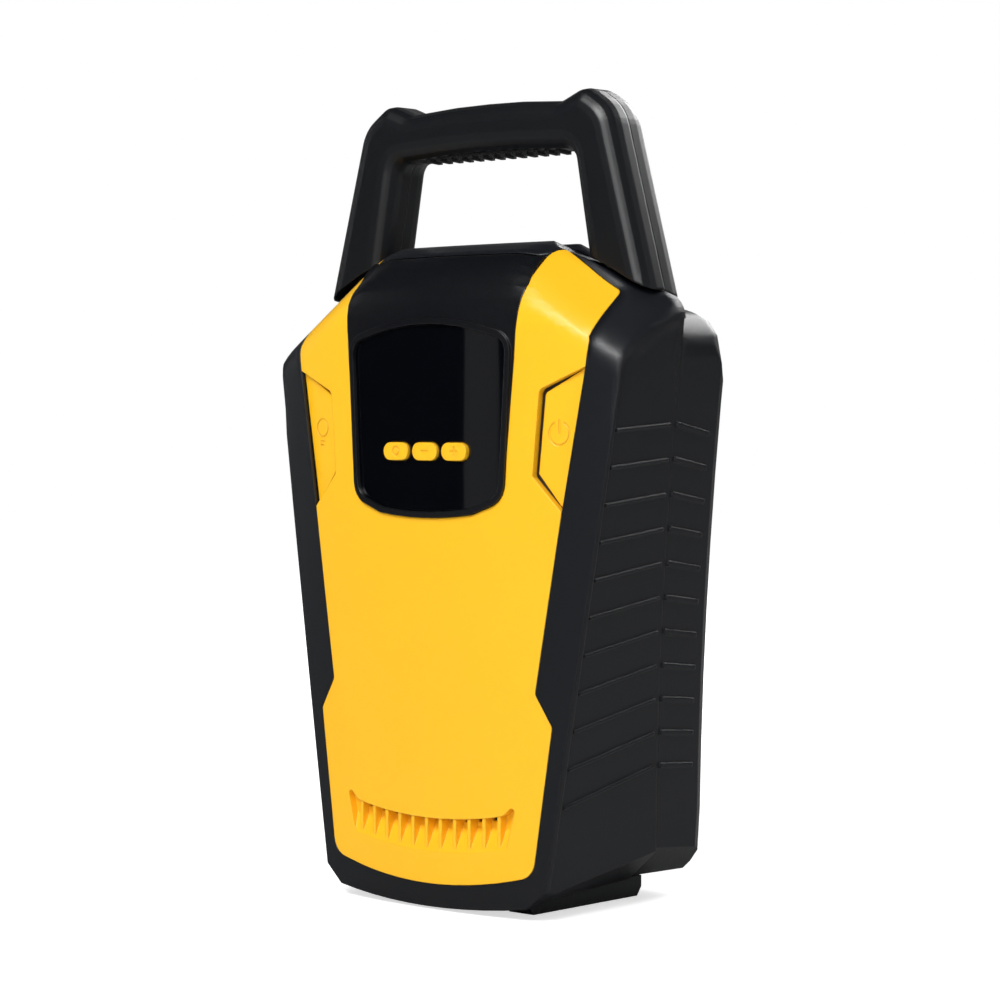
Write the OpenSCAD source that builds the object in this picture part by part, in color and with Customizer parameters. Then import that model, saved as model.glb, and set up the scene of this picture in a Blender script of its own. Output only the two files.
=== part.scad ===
// Jump starter pack: a free-standing tower case with a carry handle, a display
// with three keys, two side push panels, a battery and rear sockets.
// Millimetres, +Z up, the front faces -Y, the origin is on the floor under the middle.

/* [Case] */
// Depth of the case from the crown of the front to the foot of the back
case_depth = 115; // [112:1:118]
// Width of the case where its sloping sides meet the floor plane
base_w = 126; // [122:1:134]
// Outward slope of each side, in degrees
side_slope = 9.34; // [9:0.1:10]
// Height of the crest under the handle
crest_z = 290.5; // [288:0.5:296]
// Radius of the bowed front, seen from above
bow_r = 476; // [420:4:600]
// Half width of the flat crest
crest_half_w = 51; // [46:1:56]
// Height where each shoulder's slope would meet the side
shoulder_z = 262; // [258:1:266]
// Radius of the shoulders' corners, seen from the front
shoulder_r = 12; // [8:1:14]
// Radius at which the front rolls over into the crest
roll_r = 38; // [34:1:40]
// Radius at which the back rolls over into the crest
back_roll_r = 30; // [24:1:34]
// Radius of the rear shell's upright edges
rear_edge_r = 9; // [7:0.5:10]
// Height where the rear shell's lower shoulders would meet its sides
rear_shoulder_z = 257.5; // [254:0.5:260]
// Radius of the rear shell's corners between shoulder, side and back
rear_shoulder_r = 17.8; // [14:0.1:19]
// How far the bevels of the front's upper corners lie from the dome's middle
dome_r = 145; // [143:0.5:147]
// Forward lean of the back at its foot, per mm of height
back_slope = 0.20; // [0.18:0.005:0.21]
// How much of that lean is lost per mm of height
back_ease = 0.00032; // [0.0003:0.00001:0.00036]
// Depth of the rear shell behind the seam
rear_shell_depth = 36.3; // [35:0.1:38]
// How far the rear shell's skin lies inside the front shell's
rear_step = 1.2; // [0.8:0.1:1.4]
// Wall of both shells
wall = 3; // [2.6:0.1:3.2]
// Height of the front lip above the floor
lip_z = 1.2; // [1:0.1:2]
// Radius of the front lip, seen from the front
lip_r = 400; // [360:10:600]
// Height of the seam above the floor at the foot of each side
seam_foot_z = 24; // [23:0.5:25]
// Height of the flat belly above the floor
belly_z = 9; // [8:0.5:10]
// How far the front lip reaches back before the belly starts
lip_depth = 14; // [11:1:18]

/* [Side ribs] */
// Ribs on each side of each shell
rib_count = 11; // [7:1:12]
// Height of the lowest rib
rib_z = 61.7; // [58:0.5:66]
// Spacing of the ribs
rib_pitch = 14.9; // [13:0.1:15.2]
// Thickness of a front rib
front_rib_t = 1.3; // [1:0.1:2]
// Thickness of a rear rib
rear_rib_t = 2.2; // [1.6:0.1:2.6]
// How far the ribs stand proud
rib_h = 0.9; // [0.6:0.1:1.1]

/* [Front cover] */
// Thickness of the front cover
cover_t = 3; // [2.6:0.1:3.4]
// Case wall behind the front cover
cover_back_t = 2.5; // [2:0.1:3]
// Height of the cover's lower edge at the middle
cover_z = 11.3; // [10:0.5:13]
// Radius of the cover's lower edge
cover_edge_r = 220; // [200:10:300]
// Black border beside the cover below the notch
border_low = 8.2; // [7.4:0.2:9]
// Black border beside the cover above the notch
border_mid = 19; // [17:0.5:20]
// Height of the side notch
notch_z = 90; // [84:1:96]
// Height of the sloping step of the notch
notch_h = 13.6; // [10:0.2:16]
// Seam gap round the cover, the bezel and the lens
seam_gap = 0.2; // [0.15:0.05:0.3]

/* [Vent scoop] */
// Half width of the scoop
scoop_half_w = 50; // [46:1:52]
// Height of the scoop's lower edge
scoop_z = 25.5; // [24:0.5:28]
// Height of its upper edge at the middle
scoop_top_z = 39.8; // [39:0.2:42]
// Depth of the scoop at its upper edge
scoop_depth = 6; // [5:0.2:6.4]
// Fins in the scoop
fin_count = 11; // [7:2:13]
// Spacing of the fins
fin_pitch = 8.2; // [7.6:0.1:8.4]
// Thickness of a fin
fin_t = 1.8; // [1.4:0.1:2.2]

/* [Display] */
// Half width of the black bezel at its top
bezel_half_w = 50.5; // [49:0.5:52]
// Half width of the bezel near its foot
bezel_foot_w = 44; // [43:0.5:46]
// Height of the bezel's lowest point
bezel_z = 170.2; // [169:0.2:173]
// Height of the top of the window rim
rim_top_z = 257.2; // [255:0.2:259]
// Width of the raised rim round the window
rim_w = 2.8; // [2.4:0.1:3.2]
// How far the rim stands proud
rim_h = 1.2; // [0.8:0.1:1.6]
// Thickness of the window
lens_t = 2; // [1.6:0.1:2.2]
// How far the window lies below the case surface
lens_sink = 0.6; // [0.4:0.1:0.8]

/* [Keys] */
// Width of a key
key_w = 14.6; // [13:0.1:15]
// Height of a key
key_h = 7.8; // [7:0.1:8.4]
// Spacing of the keys
key_pitch = 17.3; // [16.8:0.1:17.8]
// Height of the keys above the floor
key_z = 199.1; // [197:0.1:201]
// How far a key stands proud of the window
key_proud = 1.2; // [1:0.1:1.6]
// Travel of a key
key_travel = 0.6; // [0.4:0.05:0.6]
// Gap round a key in the window
key_gap = 0.25; // [0.2:0.05:0.35]

/* [Side push panels] */
// How far the panels lie below the case surface
panel_sink = 2; // [1.8:0.1:2.2]
// Thickness of a push panel
panel_t = 2.5; // [2.2:0.1:2.8]
// Travel of a push panel
panel_travel = 1.2; // [0.8:0.1:1.2]
// Visible gap along the panel's inner edges
panel_gap = 2; // [1.6:0.1:2.2]
// Diameter of the plunger behind a panel
plunger_d = 8; // [7:0.5:9]
// Radial clearance of the plunger in its guide
plunger_fit = 0.08; // [0.06:0.01:0.1]

/* [Handle] */
// Height of the top of the grip bar at its middle
bar_top_z = 352.6; // [350:0.2:356]
// Height of the underside of the grip bar at its middle
bar_low_z = 331; // [330:0.2:333]
// Depth of the handle
handle_depth = 27; // [24:0.5:28]
// Distance from the front of the case back to the middle of the handle
handle_setback = 47; // [45:0.5:48]
// Half width of the hand opening at its top
grip_half_w = 52.5; // [50:0.5:54]
// Half width of the hand opening at the crest
grip_foot_w = 59.5; // [58:0.5:61]
// Half width of the handle at the top of its legs
leg_half_w = 78.5; // [77:0.5:80]
// Half width of the handle at the foot of its legs
leg_foot_w = 96; // [94:0.5:97]
// Radius of the handle's long edges
handle_edge_r = 8.5; // [6:0.5:9]
// Wall of the two handle shells
handle_wall = 2.6; // [2.2:0.1:3]
// Finger ridges under the grip
ridge_count = 13; // [9:1:15]

/* [Battery] */
// Width of the battery
battery_w = 94; // [90:1:96]
// Depth of the battery
battery_d = 65; // [60:1:66]
// Height of the battery, standing on end
battery_h = 151; // [145:1:151]
// Thickness of the foam pads round the battery
pad_t = 2; // [1.6:0.1:2.4]

/* [Rear ports] */
// Width of the port recess
port_w = 130; // [126:1:134]
// Height of the port recess
port_h = 54; // [52:1:56]
// Height of the middle of the port recess
port_z = 200; // [198:0.5:202]
// Depth from the back surface to the socket plate
port_depth = 10; // [9:0.5:11]
// Thickness of the door
door_t = 2.6; // [2.2:0.1:2.8]
// Gap round the door
door_gap = 0.4; // [0.3:0.05:0.5]
// Diameter of the hinge pin
pin_d = 2.5; // [2:0.1:3]
// Radial clearance of the pin in the door
pin_fit = 0.05; // [0.03:0.01:0.08]
// Inner diameter of the 12 V accessory socket
accessory_d = 21; // [20.5:0.1:21.5]
// Length of the 12 V accessory socket behind its plate
accessory_l = 34; // [30:1:35]

/* [Work light] */
// Width of the work light in the back
light_w = 74; // [66:1:80]
// Height of the work light
light_h = 15; // [13:0.5:16]
// Height of the middle of the work light
light_z = 243; // [241:0.5:244]

/* [Fan] */
// Side of the square fan frame
fan_s = 40; // [38:1:40]
// Thickness of the fan frame
fan_t = 10; // [9:0.5:10]
// Blades of the fan
blade_count = 7; // [5:1:9]
// Diameter of the fan shaft
fan_shaft_d = 2; // [1.8:0.1:2.4]

/* [Feet] */
// Width of a rubber foot
foot_w = 14; // [12:0.5:15]
// Length of a rubber foot
foot_l = 76; // [70:1:80]
// Half distance between the feet's middles
foot_x = 39.5; // [38:0.5:41]

/* [Fasteners] */
// Diameter of the case screws
case_screw_d = 4; // [3.5:0.1:4.2]
// Diameter of the small screws
small_screw_d = 2.6; // [2.2:0.1:3]

/* [Hidden] */
$fn = 48;

far = 400;              // reach of the cutting bodies
eps = 0.01;
half_d = case_depth / 2;
handle_y = half_d - handle_setback;
face_t = cover_t + cover_back_t;   // cover and case wall together
foot_z = 21;            // height where the back starts to lean forward
shoulder_slope = (crest_z - shoulder_z) / (half_w(shoulder_z) - crest_half_w);
side_recess = 1;        // depth of the front shell's side panels
dome_at = [0, half_d - 22.6, crest_z - 125.3];
// bevels round the dome's middle: outward direction and extra distance
dome_facets = [[[0.46, -0.505, 0.73], 0.6], [[0.5, -0.54, 0.675], 0], [[0.7, -0.33, 0.63], 4.5]];
// bevels of the front shell's shoulders towards the seam: point at the seam and direction
seam_facets = [[[92, 268], [0.35, 0.23, 0.91]], [[103, 262], [0.63, 0.47, 0.62]]];

// ---------- outline helpers ----------
function unit(v) = v / norm(v);
function cross2(a, b) = a.x * b.y - a.y * b.x;
function turned(v, a) = [v.x * cos(a) - v.y * sin(a), v.x * sin(a) + v.y * cos(a)];

// middle of the arc that rounds the corner b between a and c
function arc_middle(a, b, c, r) =
    let (u = unit(a - b), w = unit(c - b)) b + unit(u + w) * r / sin(acos(u * w) / 2);

// arc that rounds the corner b between a and c
function corner(a, b, c, r) =
    let (u = unit(a - b), w = unit(c - b), half = acos(u * w) / 2,
         o = arc_middle(a, b, c, r), s = b + u * r / tan(half) - o,
         sweep = (180 - 2 * half) * sign(cross2(b - a, c - b)), n = r < 4 ? 4 : r < 30 ? 6 : 10)
    [for (i = [0:n]) o + turned(s, sweep * i / n)];

// closed outline from points [x, y, corner radius]
function rounded(p) = let (k = len(p))
    [for (i = [0:k - 1])
        let (a = p[(i + k - 1) % k], b = p[i], c = p[(i + 1) % k])
        each (b[2] > 0 ? corner([a.x, a.y], [b.x, b.y], [c.x, c.y], b[2]) : [[b.x, b.y]])];

// right half of an outline, from bottom to top, mirrored to a whole one
function both(p) = concat(p, [for (i = [len(p) - 1:-1:0]) if (p[i].x > eps) [-p[i].x, p[i].y, p[i][2]]]);

// outline moved inwards by t
function inset(p, t) = let (k = len(p))
    [for (i = [0:k - 1])
        let (d1 = unit(p[i] - p[(i + k - 1) % k]), d2 = unit(p[(i + 1) % k] - p[i]),
             n1 = [-d1.y, d1.x], n2 = [-d2.y, d2.x])
        p[i] + (n1 + n2) / (1 + n1 * n2) * t];

// ---------- the case's own surfaces ----------
function half_w(z) = base_w / 2 + z * tan(side_slope);
function top_z(x) = crest_z - max(0, x - crest_half_w) * shoulder_slope;
function lean(z) = let (s = max(0, z - foot_z)) back_slope * s - back_ease * s * s;
function lean_angle(z) = atan(back_slope - 2 * back_ease * max(0, z - foot_z));
function back_y(z) = half_d - lean(z);
function seam_y(z) = back_y(z) - rear_shell_depth;
function front_y(x) = -half_d + bow_r - sqrt(bow_r * bow_r - x * x);

// draws a flat shape in the X-Z plane and extrudes it from y0 to y1
module along_y(y0, y1) {
    translate([0, y1, 0]) rotate([90, 0, 0]) linear_extrude(y1 - y0) children();
}

// draws a flat shape in the Y-Z plane and extrudes it over the whole width
module across_x(w = 2 * far) {
    rotate([90, 0, 90]) translate([0, 0, -w / 2]) linear_extrude(w) children();
}

module rod_y(r, x, z, y0, y1) {
    translate([x, y1, z]) rotate([90, 0, 0]) cylinder(r = r, h = y1 - y0);
}

module rod_x(r, y, z, x0, x1) {
    translate([x0, y, z]) rotate([0, 90, 0]) cylinder(r = r, h = x1 - x0);
}

module sides() {
    for (s = [0, 1]) mirror([s, 0, 0]) children();
}

// block centred in X, from corner a = [y, z] to corner b = [y, z]
module block(w, a, b) {
    translate([-w / 2, a.x, a.y]) cube([w, b.x - a.x, b.y - a.y]);
}

// everything on the far side of a plane through p with the outward direction n
module beyond(p, n) {
    m = n / norm(n);
    translate(p) rotate([0, acos(m.z), atan2(m.y, m.x)])
        translate([-far, -far, 0]) cube([2 * far, 2 * far, far]);
}

// outline of the case seen from the front
lip_points = [for (x = [0:11:55]) [x, lip_z + lip_r - sqrt(lip_r * lip_r - x * x), 0]];
case_outline = rounded(both(concat(lip_points,
    [[half_w(13), 13, 0], [half_w(shoulder_z), shoulder_z, shoulder_r], [crest_half_w, crest_z, 18],
     [0, crest_z, 0]])));

// the rear shell's shoulders lie lower and bend at a knee
rear_corner = [half_w(rear_shoulder_z), rear_shoulder_z];
rear_knee = [79, rear_shoulder_z + (rear_corner.x - 79) * 0.18];
rear_outline = rounded(both(concat(lip_points,
    [[half_w(13), 13, 0], [rear_corner.x, rear_corner.y, rear_shoulder_r], [rear_knee.x, rear_knee.y, 8],
     [crest_half_w, crest_z, 14], [0, crest_z, 0]])));

// side view of the case: lip, belly, leaning back and rolled rear edge
back_top = crest_z - back_roll_r;
case_side = concat([[-far, -5], [-half_d + 8, -5], [-half_d + lip_depth, belly_z], [half_d, belly_z]],
    [for (i = [0:9]) let (z = foot_z + (back_top - foot_z) * i / 10) [back_y(z), z]],
    corner([back_y(back_top), back_top], [back_y(crest_z) + 1, crest_z], [-far, crest_z], back_roll_r),
    [[-far, crest_z]]);

// cross-section of the bowed front and its rolled upper edge, from the bow's axis
bow_section = rounded([[200, -20, 0], [bow_r, -20, 0], [bow_r, crest_z, roll_r], [200, crest_z, 0]]);

// bowed front, moved inwards by t
module bow(t = 0) {
    translate([0, -half_d + bow_r, 0]) rotate_extrude($fn = 360) polygon(inset(bow_section, t));
}

// bowed front with its domed corners, moved inwards by t
module face_body(t = 0) {
    difference() {
        bow(t);
        sides() for (f = dome_facets) beyond(dome_at + unit(f[0]) * (dome_r + f[1] - t), f[0]);
    }
}

// skin of the bowed front between the depths t0 and t1, with the outline p
module bow_skin(p, t0, t1) {
    difference() {
        intersection() {
            along_y(-half_d - 5, -12) polygon(p);
            bow(t0);
        }
        bow(t1);
    }
}

// rounded upright edge between a side and the back, cut by planes at three angles
module rear_edge_cut(t) {
    r = rear_edge_r;
    for (a = [22.5, 45, 67.5]) rotate([0, 0, a]) along_y(-far, far) polygon(concat([[far, -20]],
        [for (z = [-20:30:crest_z + 20])
            [half_w(z) * cos(a) + back_y(z) * sin(a) - r * (cos(a) + sin(a) - 1) - t, z]],
        [[far, crest_z + 20]]));
}

// rounded corner where a rear shoulder, a side and the back meet
module rear_shoulder_cut(t) {
    r = rear_shoulder_r;
    o = arc_middle([half_w(100), 100], rear_corner, rear_knee, r);
    middle = [o.x, back_y(o.y) - 0.9 * r, o.y];
    for (a = [12, 38, 66], b = [22, 43, 66]) {
        n = [cos(a) * cos(b), sin(b), sin(a) * cos(b)];
        beyond(middle + n * (r - t), n);
    }
}

// bevels of the front shell's shoulders towards the seam
module seam_shoulder_cut(t) {
    for (f = seam_facets) beyond([f[0].x, seam_y(f[0].y), f[0].y] - unit(f[1]) * t, f[1]);
}

// whole case, its front moved inwards by ft and its other sides by t
module core(ft = 0, t = 0, rear = false) {
    foot_bevel = [0.655, rear ? -0.056 : 0.108, -0.748];
    difference() {
        intersection() {
            face_body(ft);
            along_y(-far, far) polygon(inset(rear ? rear_outline : case_outline, t));
            across_x() polygon(inset(case_side, t));
        }
        sides() {
            beyond([half_w(seam_foot_z), seam_y(seam_foot_z), seam_foot_z] - foot_bevel * t, foot_bevel);
            if (rear) {
                rear_edge_cut(t);
                rear_shoulder_cut(t);
            } else {
                seam_shoulder_cut(t);
            }
        }
    }
}

// everything behind the seam between the two shells
module behind_seam() {
    steps = 12;
    low = seam_y(foot_z);
    across_x() polygon(concat([[far, -20], [low, -20]],
        [for (i = [0:steps]) let (z = foot_z + (crest_z + 10 - foot_z) * i / steps) [seam_y(z), z]],
        [[far, crest_z + 10]]));
}

// frame whose x points out of the right side and whose z runs up its slope
module on_side() {
    translate([half_w(0), 0, 0]) rotate([0, side_slope, 0]) children();
}

// frame on the back surface at height z, y pointing out of it
module on_back(z) {
    translate([0, back_y(z), z]) rotate([lean_angle(z), 0, 0]) children();
}

// ---------- outlines on the front ----------
horn_corner = [half_w(235) - 17.1, shoulder_z + 5.8];
horn_peak = [crest_half_w - 0.6, crest_z - 0.5];
horn_foot = [horn_peak.x + 0.65, crest_z - 6.3];
horn_side = half_w(235) - 17.2;
panel_low = [half_w(174) - border_mid + 0.5, 174];
panel_top = [horn_side, 235];
panel_in_low = [58.6, 188.8];
panel_in_top = [62, 225.5];
notch_low = notch_z - notch_h / 2;
notch_high = notch_z + notch_h / 2;

function edge_z(x) = cover_z + cover_edge_r - sqrt(cover_edge_r * cover_edge_r - x * x);
cover_foot = concat([for (x = [0:8:48]) [x, edge_z(x), 0]],
    [[half_w(22) - border_low + 0.5, edge_z(58), 9],
     [half_w(notch_low) - border_low, notch_low, 2],
     [half_w(notch_high) - border_mid, notch_high, 3]]);
horn_top = [[horn_side + 1.6, 246, 10], [horn_corner.x + 0.3, 258, 10], [horn_corner.x, horn_corner.y, 3.5],
    [horn_peak.x, horn_peak.y, 3]];
bezel_side = [[bezel_half_w + 2, rim_top_z + 14, 12], [bezel_half_w - 0.5, rim_top_z - 8, 0],
    [bezel_half_w - 1.2, 238, 0], [bezel_foot_w + 1.6, key_z, 0],
    [bezel_foot_w + 0.3, bezel_z + 8, 11]];
bezel_foot = [for (x = [27:-9:0]) [x, bezel_z + x * x / 400, 0]];

// pocket for cover, bezel and push panels together
face_half = concat(cover_foot, [[panel_low.x, panel_low.y, 0], [panel_top.x, panel_top.y, 0]],
    horn_top, [[horn_foot.x, horn_foot.y, 0], [0, crest_z - 6, 0]]);
face_points = rounded(both(face_half));

cover_half = concat(cover_foot,
    [[panel_low.x, panel_low.y, 0], [panel_in_low.x, panel_in_low.y, 2],
     [panel_in_top.x, panel_in_top.y, 3], [panel_top.x, panel_top.y, 0]],
    horn_top, bezel_side, bezel_foot);
cover_points = rounded(both(cover_half));

bezel_half = concat([for (i = [len(bezel_foot) - 1:-1:0]) bezel_foot[i]],
    [for (i = [len(bezel_side) - 1:-1:0]) bezel_side[i]],
    [[horn_foot.x, horn_foot.y, 0], [0, crest_z - 6, 0]]);
bezel_points = rounded(both(bezel_half));

rim_half = concat([for (i = [len(bezel_foot) - 1:-1:0]) bezel_foot[i]],
    [[bezel_foot_w + 0.3, bezel_z + 8, 11], [bezel_foot_w + 1.6, key_z, 0],
     [bezel_half_w - 2, rim_top_z - 8, 10]],
    [for (x = [30:-10:0]) [x, rim_top_z - x * x / 270, 0]]);
rim_points = rounded(both(rim_half));
lens_points = inset(rim_points, rim_w);

panel_points = rounded([[panel_low.x - 0.3, panel_low.y + 1.2, 0.8], [panel_top.x - 0.3, panel_top.y - 0.2, 0.8],
    [panel_in_top.x + panel_gap, panel_in_top.y - panel_gap * 0.7, 2.4],
    [panel_in_low.x + panel_gap, panel_in_low.y + panel_gap * 0.6, 0]]);

// pill seen from the front, grown by g
module key_outline(g = 0) {
    w = key_w / 2 + g;
    h = key_h / 2 + g;
    r = h - 0.1;
    polygon(rounded([[-w, -h, r], [w, -h, r], [w, h, r], [-w, h, r]]));
}

// ---------- shared places ----------
lens_y = -half_d + lens_sink;
lens_back = lens_y + lens_t;
panel_x = (panel_low.x + panel_in_top.x) / 2 + 3;
panel_z = 207;
board_y = -half_d + 11;               // front of the display board
key_stop_y = lens_back + 3.9;         // where a key meets its switch when pressed
panel_back_y = front_y(panel_x) + panel_sink + panel_t;
pocket_t = panel_sink + panel_t + panel_travel + 0.5;
guide_y = front_y(panel_x) + pocket_t + wall;
plunger_y = guide_y + 1.5;
side_board_y = plunger_y + panel_travel + 4;
main_board_y = -half_d + 26;
main_board_h = 76;
main_board_z = battery_top() + 11;
fan_z = scoop_top_z + 1.2;
fan_y = -half_d + face_t + 3.5;
fan_hole_pitch = fan_s - 8;
function floor_z() = belly_z + wall;
function battery_top() = floor_z() + pad_t + battery_h;
battery_front = fan_y + fan_t + 3;
post_gap = 0.2;

case_screw_at = [[half_w(32) - 11.5, 32], [half_w(100) - 11, 100],
    [half_w(170) - 11, 170], [half_w(237) - 16, 237]];
boss_r = case_screw_d / 2 + 2.5;
cover_screw_at = [[46, 68], [47, 120], [49, 160], [64, crest_z - 33]];
peg_r = small_screw_d / 2 + 1.4;
board_post_at = [[40.3, bezel_z + 20], [43.5, rim_top_z - 15]];
main_post_at = [[58, main_board_z + 5], [58, main_board_z + main_board_h - 5]];
side_post_dz = 12;

// ---------- shells ----------
// shallow panel in each side of the front shell, with a rounded upper front corner
module side_panel_cut() {
    z1 = shoulder_z - 3;
    on_side() translate([-side_recess, 0, 0]) rotate([90, 0, 90]) linear_extrude(30)
        polygon(rounded([[front_y(half_w(60)) + 1.5, -20, 0], [far, -20, 0], [far, z1 + 4, 0],
            [seam_y(shoulder_z), z1, 0], [front_y(half_w(235)) + 1.5, z1 - 7, 14]]));
}

module front_ribs() {
    for (i = [0:rib_count - 1]) {
        z = rib_z + i * rib_pitch;
        y1 = seam_y(z) - 3.5;
        length = y1 - front_y(half_w(z)) - 3;
        on_side() translate([-side_recess - 1, y1, z / cos(side_slope)])
            rotate([max(4, 13 - 0.9 * i), 0, 0]) translate([0, -length, -front_rib_t / 2])
            cube([1 + rib_h, length, front_rib_t]);
    }
}

module rear_ribs() {
    for (i = [0:rib_count - 1]) {
        z = rib_z + i * rib_pitch;
        on_side() translate([-rear_step - 1, seam_y(z) + 1.4, z / cos(side_slope)])
            rotate([-4.2 - 0.63 * i, 0, 0]) translate([0, 0, -rear_rib_t / 2])
            cube([1 + rib_h, rear_shell_depth - 13.4, rear_rib_t]);
    }
}

module case_posts(y0, y1) {
    for (p = case_screw_at) sides() rod_y(boss_r, p.x, p.y, y0, y1);
}

// guide block behind each push panel
module panel_guides() {
    sides() along_y(-far, guide_y) polygon(inset(panel_points, -wall));
}

// two bolts side by side in the front half of each leg
bolt_xs = [69, 83];
bolt_y = -handle_y - 5.5;
function bolt_z(x) = top_z(x) - wall - 7;

module leg_rods(r, down, h) {
    sides() for (x = bolt_xs) translate([x, bolt_y, bolt_z(x) - down]) cylinder(r = r, h = h);
}

module front_shell() color("#1f2023") {
    difference() {
        union() {
            difference() {
                core();
                core(face_t, wall);
                sides() side_panel_cut();
            }
            sides() front_ribs();
            // posts, guides and ribs that grow out of the inside of the wall
            intersection() {
                core(1.5, 1.5);
                union() {
                    case_posts(-far, far);
                    panel_guides();
                    leg_rods(5, 0, 30);
                    for (p = fan_posts) rod_y(3.2, p.x, p.y, -far, fan_y);
                    sides() for (p = main_post_at) rod_y(3, p.x, p.y, -far, main_board_y);
                    sides() for (dz = [-side_post_dz, side_post_dz])
                        rod_y(2.4, panel_x, panel_z + dz, -far, side_board_y);
                    sides() translate([battery_w / 2 - 14, -far, floor_z() - 2])
                        cube([3, far + battery_front - pad_t, battery_h]);
                }
            }
        }
        behind_seam();
        // pocket for the cover, the bezel and the push panels
        difference() {
            along_y(-half_d - 5, -12) polygon(inset(face_points, -seam_gap));
            face_body(cover_t);
        }
        sides() bow_skin(inset(panel_points, -0.3), -4, pocket_t);
        // bore behind each push panel and threads for its board
        sides() rod_y(plunger_d / 2 + plunger_fit, panel_x, panel_z, -far, far);
        sides() for (dz = [-side_post_dz, side_post_dz])
            rod_y(small_screw_d / 2, panel_x, panel_z + dz, side_board_y - 6, far);
        // opening behind the display
        along_y(-far, -half_d + face_t + 8) polygon(bezel_opening());
        // openings for the vent scoop and for the cover's pegs
        along_y(-far, fan_y - 1) polygon(inset(scoop_points, -2.6));
        sides() for (p = cover_screw_at) rod_y(peg_r + post_gap, p.x, p.y, -far, -half_d + 40);
        for (p = fan_posts) rod_y(small_screw_d / 2, p.x, p.y, fan_y - 4, 0);
        sides() for (p = main_post_at) rod_y(small_screw_d / 2, p.x, p.y, main_board_y - 9, 0);
        for (p = case_screw_at) sides() rod_y(case_screw_d / 2, p.x, p.y, seam_y(p.y) - 14, far);
        leg_rods(case_screw_d / 2 + post_gap, 1, 60);
        foot_sockets();
    }
}

function bezel_opening() = rounded(both(concat(
    [[0, bezel_z + 3, 0], [30, bezel_z + 4.5, 0], [bezel_foot_w - 1.8, bezel_z + 9, 8],
     [bezel_foot_w - 0.6, key_z, 0], [bezel_half_w - 4, rim_top_z - 9, 8]],
    [[28, rim_top_z - 4, 0], [0, rim_top_z - 2, 0]])));

module rear_shell() color("#26272a") {
    difference() {
        union() {
            difference() {
                core(rear_step, rear_step, true);
                core(wall + rear_step, wall + rear_step, true);
            }
            sides() rear_ribs();
            intersection() {
                core(rear_step + 1, rear_step + 1, true);
                union() {
                    case_posts(-far, far);
                    // tubs of the port recess and the work light
                    on_back(port_z) block(port_w + 2 * wall, [-port_depth - 4, -port_h / 2 - wall],
                        [5, port_h / 2 + wall]);
                    on_back(light_z) block(light_w + 2 * wall, [-9, -light_h / 2 - wall],
                        [5, light_h / 2 + wall]);
                    // shelf over the battery and ribs behind it
                    translate([-battery_w / 2, battery_front + battery_d / 2, battery_top() + pad_t])
                        cube([battery_w, far, wall]);
                    sides() translate([battery_w / 2 - 14, battery_front + battery_d + pad_t, floor_z() - 1])
                        cube([3, far, battery_h]);
                }
            }
        }
        difference() {
            translate([-far, -far, -far]) cube(2 * far);
            behind_seam();
        }
        for (p = case_screw_at) sides() {
            rod_y(case_screw_d / 2 + post_gap, p.x, p.y, -far, far);
            rod_y(case_screw_d / 2 + 1.8, p.x, p.y, seam_y(p.y) + 5, far);
        }
        on_back(port_z) {
            block(port_w, [-port_depth, -port_h / 2], [20, port_h / 2]);
            block(port_w - 3.6, [-port_depth - 2, -port_h / 2 + 1.8], [0, port_h / 2 - 1.8]);
            block(port_w - 10, [-port_depth - 10, -port_h / 2 + 5], [0, port_h / 2 - 5]);
            rod_x(pin_d / 2, hinge_y, hinge_z, -port_w / 2 - 2, port_w / 2 + 2);
            // finger notch over the door
            translate([0, 3, port_h / 2]) rotate([0, 90, 0]) cylinder(r = 6, h = 26, center = true);
        }
        on_back(light_z) {
            block(light_w, [-2.4, -light_h / 2], [20, light_h / 2]);
            block(light_w - 3, [-20, -light_h / 2 + 1.5], [0, light_h / 2 - 1.5]);
        }
        foot_sockets();
    }
}

// ---------- front cover, bezel and window ----------
slot_w = fin_pitch - fin_t - 0.8;
function scoop_edge_z(x) = scoop_top_z + x * x * 0.0021;
scoop_half = concat([[0, scoop_z, 0], [scoop_half_w - 6, scoop_z + 0.6, 4],
    [scoop_half_w + 0.8, scoop_top_z + 11, 1.5], [scoop_half_w - 6.5, scoop_top_z + 4.2, 6]],
    [for (x = [36:-9:0]) [x, scoop_edge_z(x), 0]]);
scoop_points = rounded(both(scoop_half));

// ramp that gets deeper towards the scoop's upper edge, moved inwards by t
module scoop_ramp(t = 0) {
    top = scoop_top_z + 14;
    across_x(2 * scoop_half_w + 20) polygon([[-far, scoop_z - t], [-half_d + t, scoop_z - t],
        [-half_d + scoop_depth + t, scoop_top_z - 2], [-half_d + scoop_depth + t, top],
        [-far, top]]);
}

module front_cover() color("#ffc52e") {
    difference() {
        union() {
            difference() {
                intersection() {
                    along_y(-half_d - 5, -12) polygon(cover_points);
                    face_body();
                }
                face_body(cover_t);
            }
            // box of the scoop and pegs through the case wall
            intersection() {
                face_body(cover_t - 1);
                union() {
                    intersection() {
                        along_y(-far, fan_y - 1) polygon(inset(scoop_points, -2));
                        scoop_ramp(1.6);
                    }
                    sides() for (p = cover_screw_at) rod_y(peg_r, p.x, p.y, -far, peg_end(p));
                }
            }
        }
        difference() {
            intersection() {
                along_y(-far, 0) polygon(scoop_points);
                scoop_ramp();
            }
            fins();
        }
        // air slots under the scoop's upper edge, between the fins
        for (i = [0:fin_count - 2]) {
            x = (i - fin_count / 2 + 1) * fin_pitch;
            along_y(-half_d, 0) translate([x - slot_w / 2, scoop_edge_z(x) - 1.8]) square([slot_w, 1.6]);
        }
        sides() for (p = cover_screw_at) rod_y(small_screw_d / 2, p.x, p.y, peg_end(p) - 4, 0);
    }
}

function peg_end(p) = front_y(p.x) + face_t + (p.y > crest_z - 55 ? 3.5 : 0);

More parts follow.
